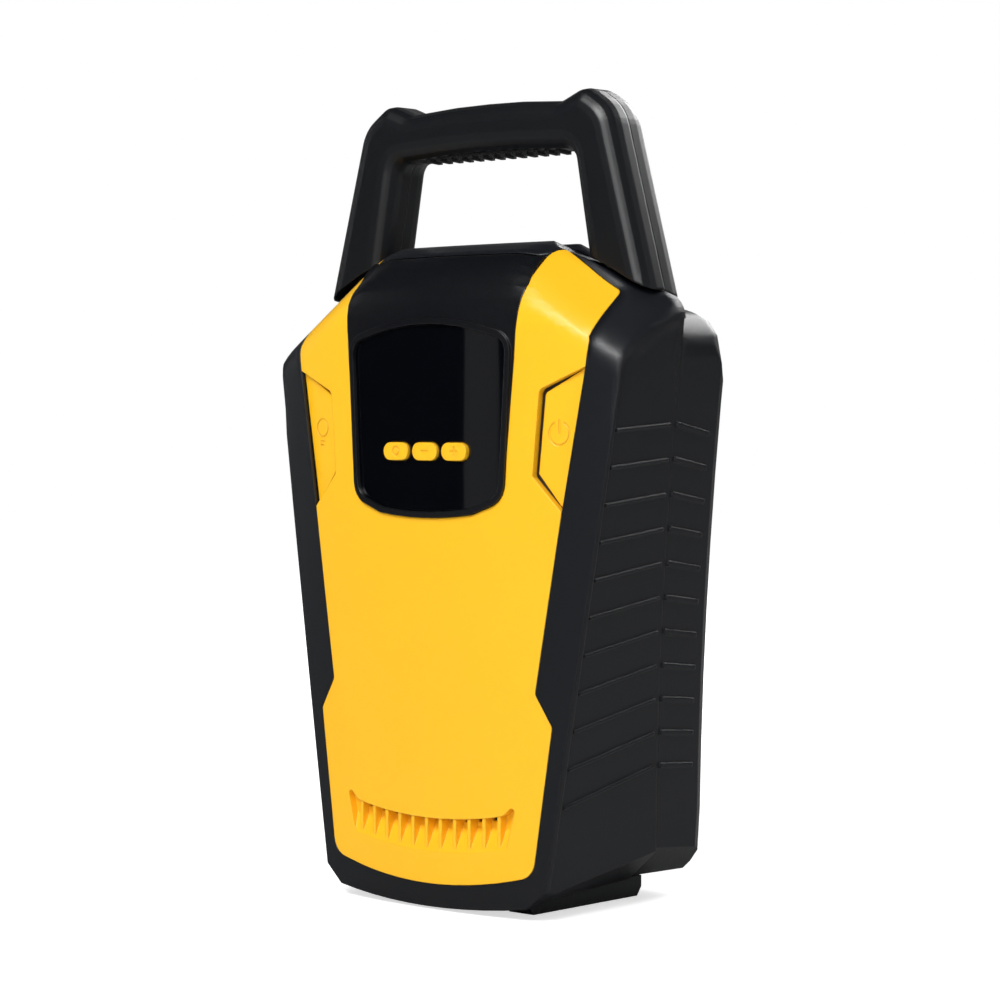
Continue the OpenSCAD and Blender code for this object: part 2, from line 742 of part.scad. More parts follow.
module fins() {
    intersection() {
        face_body(0.5);
        for (i = [0:fin_count - 1])
            translate([(i - (fin_count - 1) / 2) * fin_pitch - fin_t / 2, -far, scoop_z - 5])
            cube([fin_t, far, 40]);
    }
}

module display_bezel() color("#222327") {
    difference() {
        union() {
            difference() {
                union() {
                    bow_skin(inset(bezel_points, seam_gap), 0, cover_t);
                    bow_skin(inset(rim_points, seam_gap), -rim_h, cover_t);
                    bow_skin(inset(bezel_opening(), seam_gap), cover_t - 1, lens_sink + lens_t + 1.6);
                }
                // clear opening behind the window
                along_y(-far, 0) polygon(inset(lens_points, 1.6));
            }
            sides() for (p = board_post_at) rod_y(2.1, p.x, p.y, lens_back - 1, board_y);
        }
        // seat of the window
        bow_skin(lens_points, -4, lens_sink + lens_t);
        sides() for (p = board_post_at) rod_y(small_screw_d / 2 - 0.2, p.x, p.y, lens_back + 2.6, 0);
    }
}

module display_window() color("#0a0d13") {
    difference() {
        bow_skin(inset(lens_points, 0.1), lens_sink, lens_sink + lens_t);
        for (i = [-1:1]) translate([i * key_pitch, 0, key_z]) along_y(-far, 0) key_outline(key_gap);
    }
}

// ---------- keys and push panels ----------
module key(i) {
    translate([i * key_pitch, 0, key_z]) {
        along_y(lens_y - key_proud, lens_back + 2) key_outline();
        along_y(lens_back + 0.7, lens_back + 1.8) key_outline(1);
        rod_y(1.6, 0, 0, lens_back + 1.5, key_stop_y - key_travel);
    }
}

// engraved marks, cut 0.4 deep into a key
module key_mark(i) {
    cut = lens_y - key_proud;
    translate([i * key_pitch, 0, key_z]) along_y(cut - 1, cut + 0.4) {
        if (i < 0) difference() {
            circle(2.2);
            circle(1.4);
        }
        if (i >= 0) square([4.4, 0.8], center = true);
        if (i > 0) square([0.8, 4.4], center = true);
    }
}

module marked_key(i) {
    difference() {
        key(i);
        key_mark(i);
    }
}

module mode_button() color("#ffc52e") marked_key(-1);
module minus_button() color("#ffc52e") marked_key(0);
module plus_button() color("#ffc52e") marked_key(1);

module push_panel() {
    bow_skin(panel_points, panel_sink, panel_sink + panel_t);
    rod_y(plunger_d / 2, panel_x, panel_z, panel_back_y - 1, plunger_y);
}

// a mark engraved 0.4 deep in a push panel
module panel_mark() {
    difference() {
        translate([panel_x, 0, panel_z]) along_y(-half_d - 5, -12) children();
        bow(panel_sink + 0.4);
    }
}

module power_button() color("#ffc52e") {
    difference() {
        push_panel();
        panel_mark() {
            difference() {
                circle(5.4);
                circle(4.5);
                translate([-2.2, 0]) square([4.4, 8]);
            }
            translate([-0.45, 0]) square([0.9, 6]);
        }
    }
}

module light_button() color("#ffc52e") mirror([1, 0, 0]) {
    difference() {
        push_panel();
        panel_mark() {
            translate([0, 2]) difference() {
                circle(4.4);
                circle(3.6);
            }
            translate([-1.8, -4.6]) square([3.6, 0.9]);
            translate([-1.3, -6.2]) square([2.6, 0.9]);
        }
    }
}

// ---------- handle ----------
shoulder_peak_z = bar_top_z + 2.8;
inner_slope = (grip_foot_w - grip_half_w) / (bar_low_z - crest_z);
outer_slope = (leg_foot_w - leg_half_w) / (bar_top_z - 24 - (crest_z - 25));
function inner_x(z) = grip_foot_w + (crest_z - z) * inner_slope;
function outer_x(z) = leg_foot_w + (crest_z - 25 - z) * outer_slope;
leg_low_z = shoulder_z + 1.5;

handle_half = concat(
    [[0, bar_low_z, 0], [20, bar_low_z - 0.3, 0], [grip_half_w, bar_low_z - 2, 6],
     [inner_x(leg_low_z), leg_low_z, 0], [outer_x(leg_low_z), leg_low_z, 0],
     [outer_x(bar_top_z - 6), bar_top_z - 6, 20], [grip_half_w + 6, shoulder_peak_z + 1, 9],
     [grip_half_w - 8, bar_top_z - 1.8, 8], [20, bar_top_z - 0.3, 0], [0, bar_top_z, 0]]);

// the hand opening and the grip bar run on across the middle, so both halves are whole outlines
function mirrored(p) = [for (i = [len(p) - 1:-1:0]) [-p[i].x, p[i].y, p[i][2]]];
handle_points = rounded(concat(handle_half, [for (q = mirrored(handle_half)) if (abs(q.x) > eps) q]));

// triangles between two rows of point numbers, which run side by side
function zipped(p, q) = let (a = len(p) - 1, b = len(q) - 1, at = [for (i = [0:a - 1]) round(i * b / a)])
    concat([for (i = [0:a - 1]) [p[i], q[at[i]], p[i + 1]]],
        [for (j = [0:b - 1]) [q[j], q[j + 1], p[len([for (v = at) if (v <= j) 1])]]]);
function flipped(faces) = [for (f = faces) [for (i = [len(f) - 1:-1:0]) f[i]]];
function shifted(faces, k) = [for (f = faces) [for (v = f) v + k]];

// arch between y0 and y1 with the outline p, its edges rounded with radius r;
// p runs from the middle of the underside to the right foot and round
module rounded_arch(p, y0, y1, r) {
    n = 4;
    k = len(p);
    foot = [for (i = [0:k / 2]) if (p[i].y < leg_low_z + eps) i][0];
    steps = concat([for (j = [0:n]) [r * (1 - sin(90 * j / n)), y0 + r * (1 - cos(90 * j / n))]],
        [for (j = [n:-1:0]) [r * (1 - sin(90 * j / n)), y1 - r * (1 - cos(90 * j / n))]]);
    rings = [for (q = steps) each [for (v = inset(p, q[0])) [v.x, q[1], v.y]]];
    m = len(steps);
    right = zipped([for (i = [0:foot]) i], [for (i = [k / 2:-1:foot + 1]) i]);
    left = zipped([for (i = [0:foot]) (k - i) % k], [for (i = [k / 2:k - foot - 1]) i]);
    front = concat(right, flipped(left));
    polyhedron(rings, concat(front, flipped(shifted(front, (m - 1) * k)),
        [for (j = [0:m - 2], i = [0:k - 1])
            [j * k + i, j * k + (i + 1) % k, (j + 1) * k + (i + 1) % k, (j + 1) * k + i]]));
}

module handle_body(t) {
    y0 = -handle_y - handle_depth / 2 + t;
    y1 = -handle_y + handle_depth / 2 - t;
    if (t > 0) along_y(y0, y1) polygon(inset(handle_points, t + 0.6));
    else rounded_arch(handle_points, y0, y1, handle_edge_r);
}

// everything inside the case outline, where the legs stand on the shoulders
module case_plug(grow) {
    difference() {
        along_y(-far, far) polygon(inset(case_outline, -grow));
        sides() seam_shoulder_cut(-grow);
    }
}

module handle_half_shell(rear) {
    mid = -handle_y;
    difference() {
        union() {
            difference() {
                handle_body(0);
                difference() {
                    handle_body(handle_wall);
                    case_plug(handle_wall);
                }
            }
            intersection() {
                handle_body(handle_wall / 2);
                union() {
                    sides() for (p = handle_screw_at) rod_y(3.6, p.x, p.y, -far, far);
                    if (!rear) leg_rods(4.6, 0, 34);
                }
            }
        }
        case_plug(0.02);
        translate([-far, rear ? -2 * far + mid : mid, 0]) cube(2 * far);
        sides() for (p = handle_screw_at) if (rear) {
            rod_y(small_screw_d / 2 + post_gap, p.x, p.y, -far, far);
            rod_y(small_screw_d / 2 + 1.6, p.x, p.y, mid + 5, far);
        } else {
            rod_y(small_screw_d / 2, p.x, p.y, mid - 8, far);
        }
        if (!rear) leg_rods(case_screw_d / 2, 0, bolt_l);
        along_y(-handle_y - 7, -handle_y + 7) polygon(pad_points);
    }
}

bolt_l = 28;
handle_screw_at = [[64, bar_low_z + 12], [outer_x(crest_z) - 12, crest_z + 6]];
pad_half = [[0, bar_low_z + 1.2, 0], [grip_half_w - 7, bar_low_z - 0.6, 0],
    [grip_half_w - 7, bar_low_z - 4, 0], [0, bar_low_z - 4, 0]];
pad_points = [for (q = both([pad_half[3], pad_half[2], pad_half[1], pad_half[0]])) [q.x, q.y]];

module handle_front() color("#232427") handle_half_shell(false);
module handle_rear() color("#202124") handle_half_shell(true);

// soft strip let into the underside of the grip, with finger ridges
module grip_pad() color("#17181a") {
    depth = 13.6;
    strip_w = 2 * grip_half_w - 15;
    intersection() {
        along_y(-handle_y - depth / 2, -handle_y + depth / 2) polygon(pad_points);
        union() {
            block(strip_w, [-far, bar_low_z - 0.6], [far, far]);
            for (i = [0:ridge_count - 1])
                translate([(i - (ridge_count - 1) / 2) * strip_w / (ridge_count + 1), -handle_y, 0])
                rotate([0, 0, 20]) block(2.4, [-far, bar_low_z - 2.2], [far, far]);
        }
    }
}

// ---------- feet ----------
foot_y = -half_d + 15.5;
foot_peg_at = [foot_y + 9, foot_y + foot_l - 9];

module foot_sockets() {
    sides() for (y = foot_peg_at)
        translate([foot_x, y, belly_z - 2]) cylinder(r = 3, h = 2 + wall + 1);
}

module foot() {
    difference() {
        translate([foot_x - foot_w / 2, foot_y, 0]) cube([foot_w, foot_l, belly_z]);
        // bevelled ends and a groove where the two halves of the tread meet
        beyond([foot_x, foot_y, belly_z - 5], [0, -0.8, -0.6]);
        beyond([foot_x, foot_y + foot_l, belly_z - 5], [0, 0.8, -0.6]);
        translate([foot_x - foot_w, foot_y + foot_l * 0.62, -1]) cube([2 * foot_w, 0.8, 2]);
    }
    for (y = foot_peg_at) translate([foot_x, y, belly_z - 1]) cylinder(r = 2.9, h = 1 + wall);
}

module right_foot() color("#2b2d2e") foot();
module left_foot() color("#2b2d2e") mirror([1, 0, 0]) foot();

// ---------- rear ports ----------
barrel_r = door_t / 2 + 1.4;
hinge_y = -barrel_r;
hinge_z = -port_h / 2 + door_gap + barrel_r;
plate_w = port_w - 4;
plate_h = port_h - 4;

module port_plate() color("#303136") on_back(port_z) {
    difference() {
        block(plate_w, [-port_depth - 2, -plate_h / 2], [-port_depth, plate_h / 2]);
        translate([lead_x, 0, 0]) block(32.4, [-far, -8.2], [far, 8.2]);
        rod_y(accessory_d / 2 + 1.7, accessory_x, 0, -far, far);
        translate([usb_x, 0, 0]) block(24.4, [-far, -8.2], [far, 8.2]);
        rod_y(5.6, inlet_x, 0, -far, far);
    }
}

lead_x = port_w / 2 - 27;
accessory_x = 2;
usb_x = 35 - port_w / 2;
inlet_x = 13 - port_w / 2;

module port_door() color("#222327") on_back(port_z) {
    top = port_h / 2 - door_gap;
    difference() {
        union() {
            block(port_w - 2 * door_gap, [-door_t, hinge_z], [0, top]);
            rod_x(barrel_r, hinge_y, hinge_z, -port_w / 2 + door_gap, port_w / 2 - door_gap);
            // snap lip inside the upper edge and stiffening bars
            block(30, [-door_t - 1.6, top - 4], [0, top - 2]);
            sides() translate([26, 0, 0]) block(2, [-door_t - 1, -12], [0, top - 6]);
        }
        rod_x(pin_d / 2 + pin_fit, hinge_y, hinge_z, -far, far);
        // shallow grip groove on the outside
        for (i = [0:2]) translate([0, 0, top - 6 - 3 * i]) block(28, [-0.6, -0.6], [1, 0.6]);
    }
}

module door_pin() color("#b9bcc0") on_back(port_z)
    rod_x(pin_d / 2, hinge_y, hinge_z, -port_w / 2 - 1.8, port_w / 2 + 1.8);

module lead_socket() color("#8c1d18") on_back(port_z) translate([lead_x, 0, 0]) {
    difference() {
        union() {
            block(36, [-port_depth, -10], [-port_depth + 1.5, 10]);
            block(32, [-port_depth - 20, -8], [-port_depth, 8]);
        }
        for (x = [-8, 8]) rod_y(4.6, x, 0, -port_depth - 16, far);
        for (x = [-8, 8]) rod_y(2.4, x, 0, -far, far);
    }
}

module lead_contacts() color("#c79a3a") on_back(port_z) translate([lead_x, 0, 0])
    for (x = [-8, 8]) {
        difference() {
            rod_y(4.6, x, 0, -port_depth - 16, -port_depth - 1);
            rod_y(3.7, x, 0, -port_depth - 14, far);
        }
        rod_y(2.4, x, 0, -port_depth - 24, -port_depth - 15);
    }

module accessory_socket() color("#2a2b2e") on_back(port_z) {
    bore = accessory_d / 2;
    difference() {
        union() {
            rod_y(bore + 4.5, accessory_x, 0, -port_depth, -port_depth + 1.6);
            rod_y(bore + 1.5, accessory_x, 0, -port_depth - accessory_l, -port_depth);
        }
        rod_y(bore, accessory_x, 0, -port_depth - accessory_l + 2, far);
        rod_y(2, accessory_x, 0, -far, far);
    }
}

module accessory_contact() color("#c79a3a") on_back(port_z) {
    back = -port_depth - accessory_l;
    rod_y(2, accessory_x, 0, back - 4, back + 2);
    rod_y(4, accessory_x, 0, back + 2, back + 3.2);
}

module usb_socket() color("#1b1c1f") on_back(port_z) translate([usb_x, 0, 0]) {
    difference() {
        union() {
            block(28, [-port_depth, -10], [-port_depth + 1.5, 10]);
            block(24, [-port_depth - 14, -8], [-port_depth, 8]);
        }
        for (z = [-3.9, 3.9]) translate([0, 0, z])
            block(13.4, [-port_depth - 11, -2.8], [far, 2.8]);
    }
}

module charge_inlet() color("#1b1c1f") on_back(port_z) {
    difference() {
        union() {
            rod_y(7.4, inlet_x, 0, -port_depth, -port_depth + 1.5);
            rod_y(5.4, inlet_x, 0, -port_depth - 13, -port_depth);
        }
        rod_y(3.3, inlet_x, 0, -port_depth - 10, far);
    }
}

// ---------- work light ----------
module light_lens() color("#dfe6ea") on_back(light_z)
    block(light_w - 0.4, [-2.4, -light_h / 2 + 0.2], [-0.4, light_h / 2 - 0.2]);

module light_reflector() color("#c8ccd0") on_back(light_z) {
    leds = 6;
    difference() {
        block(light_w - 3.4, [-7.4, -light_h / 2 + 1.7], [-2.4, light_h / 2 - 1.7]);
        for (i = [0:leds - 1]) translate([(i - (leds - 1) / 2) * light_w / (leds + 0.6), -7.4 - eps, 0])
            rotate([-90, 0, 0]) cylinder(r1 = 2.2, r2 = 4.6, h = 5 + 2 * eps);
    }
}

module light_board() color("#20603a") on_back(light_z) {
    leds = 6;
    block(light_w - 3.4, [-9, -light_h / 2 + 1.7], [-7.4, light_h / 2 - 1.7]);
    for (i = [0:leds - 1]) translate([(i - (leds - 1) / 2) * light_w / (leds + 0.6), 0, 0])
        block(2.8, [-7.4, -1.4], [-6.6, 1.4]);
}

// ---------- battery and cables ----------
module battery() color("#3b3f46") {
    z0 = floor_z() + pad_t;
    difference() {
        translate([-battery_w / 2, battery_front, z0]) cube([battery_w, battery_d, battery_h]);
        // groove of the lid and pockets of the two terminals on the right end
        translate([battery_w / 2 - 12, battery_front - 1, z0 - 1]) cube([1, 1.6, battery_h + 2]);
        translate([battery_w / 2 - 12, battery_front + battery_d - 0.6, z0 - 1]) cube([1, 2, battery_h + 2]);
        for (z = terminal_z()) translate([battery_w / 2 - 4, battery_front + 6, z - 8]) cube([5, 16, 16]);
    }
}

function terminal_z() = [floor_z() + pad_t + 32, battery_top() - 14];

module battery_terminals() color("#c9c3b4") {
    for (z = terminal_z()) {
        translate([battery_w / 2 - 4, battery_front + 9, z - 5]) cube([10, 10, 10]);
        rod_x(3, battery_front + 14, z, battery_w / 2 + 6, battery_w / 2 + 8);
    }
}

module battery_pads() color("#55585c") {
    z0 = floor_z();
    translate([-battery_w / 2 + 4, battery_front + 4, z0])
        cube([battery_w - 8, seam_y(0) - 1 - battery_front - 4, pad_t]);
    translate([-battery_w / 2 + 4, battery_front + battery_d / 2 + 1, battery_top()])
        cube([battery_w - 8, battery_d / 2 - 4, pad_t]);
    sides() translate([battery_w / 2 - 17, battery_front - pad_t, z0 + 12])
        cube([9, pad_t, battery_h - 24]);
    sides() translate([battery_w / 2 - 17, battery_front + battery_d, z0 + 12])
        cube([9, pad_t, battery_h - 24]);
}

// round cable through a list of points
module cable(points, d) {
    for (i = [0:len(points) - 2]) {
        v = points[i + 1] - points[i];
        translate(points[i]) rotate([0, acos(v.z / norm(v)), atan2(v.y, v.x)])
            cylinder(d = d, h = norm(v), $fn = 24);
    }
    for (i = [1:len(points) - 2]) translate(points[i]) sphere(d = d + 0.5, $fn = 24);
}

cable_d = 6;
cable_x = battery_w / 2 + 5 + cable_d / 2;
relay_pos = [60.5, -9, battery_top() + 12];
relay_size = [26, 22, 26];

module positive_cable() color("#b3261e") {
    z = terminal_z()[1];
    cable([[cable_x, battery_front + 14, z + 3 + cable_d / 2], [cable_x, battery_front + 14, z + 12],
        [relay_pos.x + 7, relay_pos.y + 12, relay_pos.z - 5], [relay_pos.x + 7, relay_pos.y + 12, relay_pos.z]],
        cable_d);
}

module negative_cable() color("#17181a") {
    z = terminal_z()[0];
    x = battery_w / 2 + 9 + cable_d / 2;
    cable([[battery_w / 2 + 8, battery_front + 14, z], [x, battery_front + 14, z],
        [x, battery_front + 24, z + 60], [x, 6, battery_top() - 10], [x - 3, 2, battery_top() + 6],
        [lead_x + 8, -12, port_z - 12], [lead_x + 8, -9, port_z], [lead_x + 8, -5, port_z]], cable_d);
}

module start_relay() color("#2f3a52") translate(relay_pos) {
    cube(relay_size);
    translate([6, relay_size.y, 5]) cube([relay_size.x - 12, 2, relay_size.z - 10]);
}

// ---------- boards ----------
module main_board() color("#1f6b3e") {
    y1 = main_board_y + 1.6;
    difference() {
        block(126, [main_board_y, main_board_z], [y1, main_board_z + main_board_h]);
        sides() for (p = main_post_at) rod_y(small_screw_d / 2 + post_gap, p.x, p.y, -far, far);
    }
    // chokes, capacitors and connectors on the rear face
    for (x = [-44, -32]) rod_y(5, x, main_board_z + main_board_h - 14, y1, y1 + 9);
    translate([30, y1, main_board_z + main_board_h - 22]) cube([14, 8, 14]);
    translate([-52, y1, main_board_z + 16]) cube([12, 6, 18]);
    translate([40, y1, main_board_z + 12]) cube([14, 3, 14]);
}

module heat_sink() color("#9aa0a6") {
    y1 = main_board_y + 1.6;
    z0 = main_board_z + main_board_h - 24;
    translate([-20, y1, z0]) {
        cube([40, 2.4, 20]);
        for (i = [0:6]) translate([i * 6.4, 0, 0]) cube([1.6, 11, 20]);
    }
}

module display_board() color("#1f6b3e") {
    difference() {
        along_y(board_y, board_y + 1.6) polygon(rounded([[-46, bezel_z + 10, 3], [46, bezel_z + 10, 3],
            [46, rim_top_z - 8, 3], [-46, rim_top_z - 8, 3]]));
        sides() for (p = board_post_at) rod_y(small_screw_d / 2 + post_gap, p.x, p.y, -far, far);
    }
}

module display_module() color("#0f1620") {
    z0 = key_z + 9;
    block(66, [lens_back + 1.5, z0], [board_y, rim_top_z - 12]);
}

module key_switches() color("#8e9297") {
    for (i = [-1:1]) translate([i * key_pitch, 0, key_z]) {
        block(6, [key_stop_y + 1.2, -3], [board_y, 3]);
        rod_y(1.7, 0, 0, key_stop_y + 0.1, key_stop_y + 1.5);
    }
}

module side_boards() color("#1f6b3e") sides() {
    difference() {
        translate([panel_x - 7, side_board_y, panel_z - 16]) cube([14, 1.6, 32]);
        for (dz = [-side_post_dz, side_post_dz])
            rod_y(small_screw_d / 2 + post_gap, panel_x, panel_z + dz, -far, far);
    }
}

module side_switches() color("#8e9297") sides() {
    translate([panel_x - 3, side_board_y - 2.8, panel_z - 3]) cube([6, 2.8, 6]);
    rod_y(1.7, panel_x, panel_z, plunger_y + panel_travel + 0.1, side_board_y - 2.5);
}

// ---------- fan ----------
fan_posts = [for (x = [-1, 1], z = [-1, 1]) [x * fan_hole_pitch / 2, fan_z + z * fan_hole_pitch / 2]];
fan_r = fan_s / 2 - 1.5;

module fan_frame() color("#2c2e31") {
    y1 = fan_y + fan_t;
    difference() {
        block(fan_s, [fan_y, fan_z - fan_s / 2], [y1, fan_z + fan_s / 2]);
        rod_y(fan_r, 0, fan_z, -far, far);
        for (p = fan_posts) rod_y(small_screw_d / 2 + post_gap, p.x, p.y, -far, far);
    }
    difference() {
        union() {
            rod_y(8, 0, fan_z, y1 - 2, y1);
            translate([0, 0, fan_z]) for (a = [90, 210, 330]) rotate([0, a, 0])
                translate([6, y1 - 1.6, -1]) cube([fan_r - 5, 1.6, 2]);
        }
        rod_y(fan_shaft_d / 2 + 0.03, 0, fan_z, -far, far);
    }
}

module fan_rotor() color("#3a3d41") {
    hub_y = fan_y + 0.8;
    rod_y(8, 0, fan_z, hub_y, fan_y + fan_t - 2.4);
    rod_y(fan_shaft_d / 2, 0, fan_z, hub_y, fan_y + fan_t - 0.2);
    translate([0, 0, fan_z]) for (i = [0:blade_count - 1]) rotate([0, i * 360 / blade_count, 0])
        translate([7.4, fan_y + 4, 0]) rotate([38, 0, 0]) translate([0, -3.4, -0.5])
        cube([fan_r - 8.2, 6.8, 1]);
}

// ---------- fasteners ----------
// screw along +Y seen from its head: the head's face is at y, the point towards -Y
module screw(x, z, y, d, length) {
    rod_y(d / 2, x, z, y - length, y + eps);
    difference() {
        rod_y(d * 0.9, x, z, y, y + d * 0.6);
        rod_y(d * 0.35, x, z, y + d * 0.25, y + d);
    }
}

module case_screws() color("#4a4c50") {
    for (p = case_screw_at) sides() screw(p.x, p.y, seam_y(p.y) + 5, case_screw_d, 17);
}

module handle_bolts() color("#4a4c50") sides() {
    for (x = bolt_xs) translate([x, bolt_y, bolt_z(x)]) {
        cylinder(d = case_screw_d, h = bolt_l);
        translate([0, 0, -case_screw_d * 0.6]) difference() {
            cylinder(d = case_screw_d * 1.8, h = case_screw_d * 0.6);
            translate([0, 0, -1]) cylinder(d = case_screw_d * 0.7, h = 2);
        }
    }
}

module handle_screws() color("#4a4c50") {
    sides() for (p = handle_screw_at) screw(p.x, p.y, 5 - handle_y, small_screw_d, 12);
}

module cover_screws() color("#4a4c50") {
    sides() for (p = cover_screw_at) screw(p.x, p.y, peg_end(p), small_screw_d, 3.6);
}

module board_screws() color("#4a4c50") {
    sides() for (p = board_post_at) screw(p.x, p.y, board_y + 1.6, small_screw_d - 0.4, 5);
    sides() for (p = main_post_at) screw(p.x, p.y, main_board_y + 1.6, small_screw_d, 8);
    sides() for (dz = [-side_post_dz, side_post_dz])
        screw(panel_x, panel_z + dz, side_board_y + 1.6, small_screw_d, 6);
    for (p = fan_posts) screw(p.x, p.y, fan_y + fan_t, small_screw_d, fan_t + 4);
}

front_shell();
rear_shell();
front_cover();
display_bezel();
display_window();
mode_button();
minus_button();
plus_button();
power_button();
light_button();
handle_front();
handle_rear();
grip_pad();
left_foot();
right_foot();
port_plate();
port_door();
door_pin();
lead_socket();
lead_contacts();
accessory_socket();
accessory_contact();
usb_socket();
charge_inlet();
light_lens();
light_reflector();
light_board();
battery();
battery_terminals();
battery_pads();
positive_cable();
negative_cable();
start_relay();
main_board();
heat_sink();
display_board();
display_module();
key_switches();
side_boards();
side_switches();
fan_frame();
fan_rotor();
case_screws();
handle_bolts();
handle_screws();
cover_screws();
board_screws();
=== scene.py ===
import math

import bmesh
import bpy
import numpy as np
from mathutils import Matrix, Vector


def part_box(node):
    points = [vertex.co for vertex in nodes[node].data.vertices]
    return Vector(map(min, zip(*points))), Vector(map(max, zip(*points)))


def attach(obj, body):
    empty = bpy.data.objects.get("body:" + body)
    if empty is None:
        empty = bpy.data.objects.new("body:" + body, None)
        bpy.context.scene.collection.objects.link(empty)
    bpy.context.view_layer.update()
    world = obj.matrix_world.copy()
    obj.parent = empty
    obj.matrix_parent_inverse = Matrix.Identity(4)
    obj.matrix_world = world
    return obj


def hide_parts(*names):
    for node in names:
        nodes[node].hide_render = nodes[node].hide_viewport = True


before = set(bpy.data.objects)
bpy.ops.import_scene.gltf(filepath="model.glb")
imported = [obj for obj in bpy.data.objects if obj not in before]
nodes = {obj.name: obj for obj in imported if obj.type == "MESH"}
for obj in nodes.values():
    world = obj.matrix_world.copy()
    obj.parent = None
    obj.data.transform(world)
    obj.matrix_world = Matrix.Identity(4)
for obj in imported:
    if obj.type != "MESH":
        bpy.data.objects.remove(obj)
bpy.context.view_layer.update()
mm = 0.001
print("frame loaded:", len(nodes), "nodes")


def toLinear(hexColour):
    # sRGB hex to the linear colour that the shaders take
    channels = [int(hexColour[i:i + 2], 16) / 255 for i in (1, 3, 5)]
    return [c / 12.92 if c <= 0.04045 else ((c + 0.055) / 1.055) ** 2.4 for c in channels] + [1]


def addNode(tree, kind, inputs={}, **settings):
    # one node with its settings; an input takes a value or another node's output
    node = tree.nodes.new("ShaderNode" + kind)
    for name, value in settings.items():
        setattr(node, name, value)
    for name, value in inputs.items():
        if isinstance(value, bpy.types.NodeSocket):
            tree.links.new(value, node.inputs[name])
        else:
            node.inputs[name].default_value = value
    return node


def startMaterial(name, look):
    # principled shader with the constant values of one finish
    material = bpy.data.materials.new(name)
    material.use_nodes = True
    tree = material.node_tree
    shader = tree.nodes["Principled BSDF"]
    shader.inputs["Base Color"].default_value = toLinear(look["colour"])
    shader.inputs["Roughness"].default_value = look["roughness"]
    shader.inputs["Metallic"].default_value = look.get("metallic", 0)
    if "ior" in look:
        shader.inputs["IOR"].default_value = look["ior"]
    place = addNode(tree, "TexCoord").outputs["Object"]
    return material, tree, shader, place


# shared by all finishes: octaves of the two noises, and the span that a noise stays within
texture = {"driftDetail": 3, "grainDetail": 2, "grainBreakUp": 0.6, "noiseLow": 0.3, "noiseHigh": 0.7,
           "edgeSamples": 6}


def toneDrift(tree, shader, place, look):
    # slow change of tone over the part, as flow and cooling leave it
    drift = addNode(tree, "TexNoise", {"Vector": place, "Scale": 1 / (look["driftSize"] * mm),
                                       "Detail": texture["driftDetail"]})
    deep, light = toLinear(look["colourDeep"]), toLinear(look["colour"])
    tone = addNode(tree, "Mix", {0: drift.outputs["Fac"], 6: deep, 7: light}, data_type="RGBA")
    tree.links.new(tone.outputs[2], shader.inputs["Base Color"])


def grain(tree, shader, place, look, edge):
    # fine surface texture with its own height and a matching change of gloss; the real grain is
    # 0.1 to 0.2 mm and too fine to show, so each finish draws it a few times coarser
    noise = addNode(tree, "TexNoise", {"Vector": place, "Scale": 1 / (look["grainSize"] * mm),
                                       "Detail": texture["grainDetail"],
                                       "Roughness": texture["grainBreakUp"]})
    bump = addNode(tree, "Bump", {"Height": noise.outputs["Fac"], "Strength": look["grainStrength"],
                                  "Distance": look["grainDepth"] * mm, "Normal": edge})
    gloss = addNode(tree, "MapRange", {"Value": noise.outputs["Fac"],
                                       "From Min": texture["noiseLow"], "From Max": texture["noiseHigh"],
                                       "To Min": look["roughness"] - look["glossSpread"],
                                       "To Max": look["roughness"] + look["glossSpread"]})
    tree.links.new(gloss.outputs["Result"], shader.inputs["Roughness"])
    tree.links.new(bump.outputs["Normal"], shader.inputs["Normal"])


def softEdge(tree, radius):
    # edges of a moulding catch the light over a small radius
    bevel = addNode(tree, "Bevel", {"Radius": radius * mm}, samples=texture["edgeSamples"])
    return bevel.outputs["Normal"]


caseAbs = {"colour": "#11141a", "colourDeep": "#0d1015", "roughness": 0.4, "ior": 1.5, "driftSize": 90,
           "grainSize": 0.7, "grainStrength": 0.35, "grainDepth": 0.04, "glossSpread": 0.05,
           "edgeRadius": 1.2,
           # the two shoulders: middle of the right one, reach of the full wide blend and of its end
           "shoulder": (92, -20, 268), "shoulderRadius": 7, "shoulderCore": 31.2, "shoulderReach": 52,
           "shoulderSamples": 8}


def sparkGrainedAbs():
    # ABS moulded in a spark-eroded tool: dark, satin, with a fine even grain and softly shining edges
    material, tree, shader, place = startMaterial("sparkGrainedAbs", caseAbs)
    toneDrift(tree, shader, place, caseAbs)
    # the two shoulders are blended more softly than the other edges
    split = addNode(tree, "SeparateXYZ", {"Vector": place})
    side = addNode(tree, "Math", {0: split.outputs["X"]}, operation="ABSOLUTE")
    folded = addNode(tree, "CombineXYZ", {"X": side.outputs[0], "Y": split.outputs["Y"],
                                          "Z": split.outputs["Z"]})
    away = addNode(tree, "VectorMath", {0: folded.outputs[0], 1: [v * mm for v in caseAbs["shoulder"]]},
                   operation="DISTANCE")
    radius = addNode(tree, "MapRange", {"Value": away.outputs["Value"],
                                        "From Min": caseAbs["shoulderCore"] * mm,
                                        "From Max": caseAbs["shoulderReach"] * mm,
                                        "To Min": caseAbs["shoulderRadius"] * mm,
                                        "To Max": caseAbs["edgeRadius"] * mm})
    edge = addNode(tree, "Bevel", {"Radius": radius.outputs["Result"]}, samples=caseAbs["shoulderSamples"])
    grain(tree, shader, place, caseAbs, edge.outputs["Normal"])
    return material


coverAbs = {"colour": "#ffc41c", "colourDeep": "#febc14", "roughness": 0.4, "ior": 1.53, "driftSize": 120,
            "grainSize": 0.5, "grainStrength": 0.12, "grainDepth": 0.02, "glossSpread": 0.03,
            "edgeRadius": 0.9}


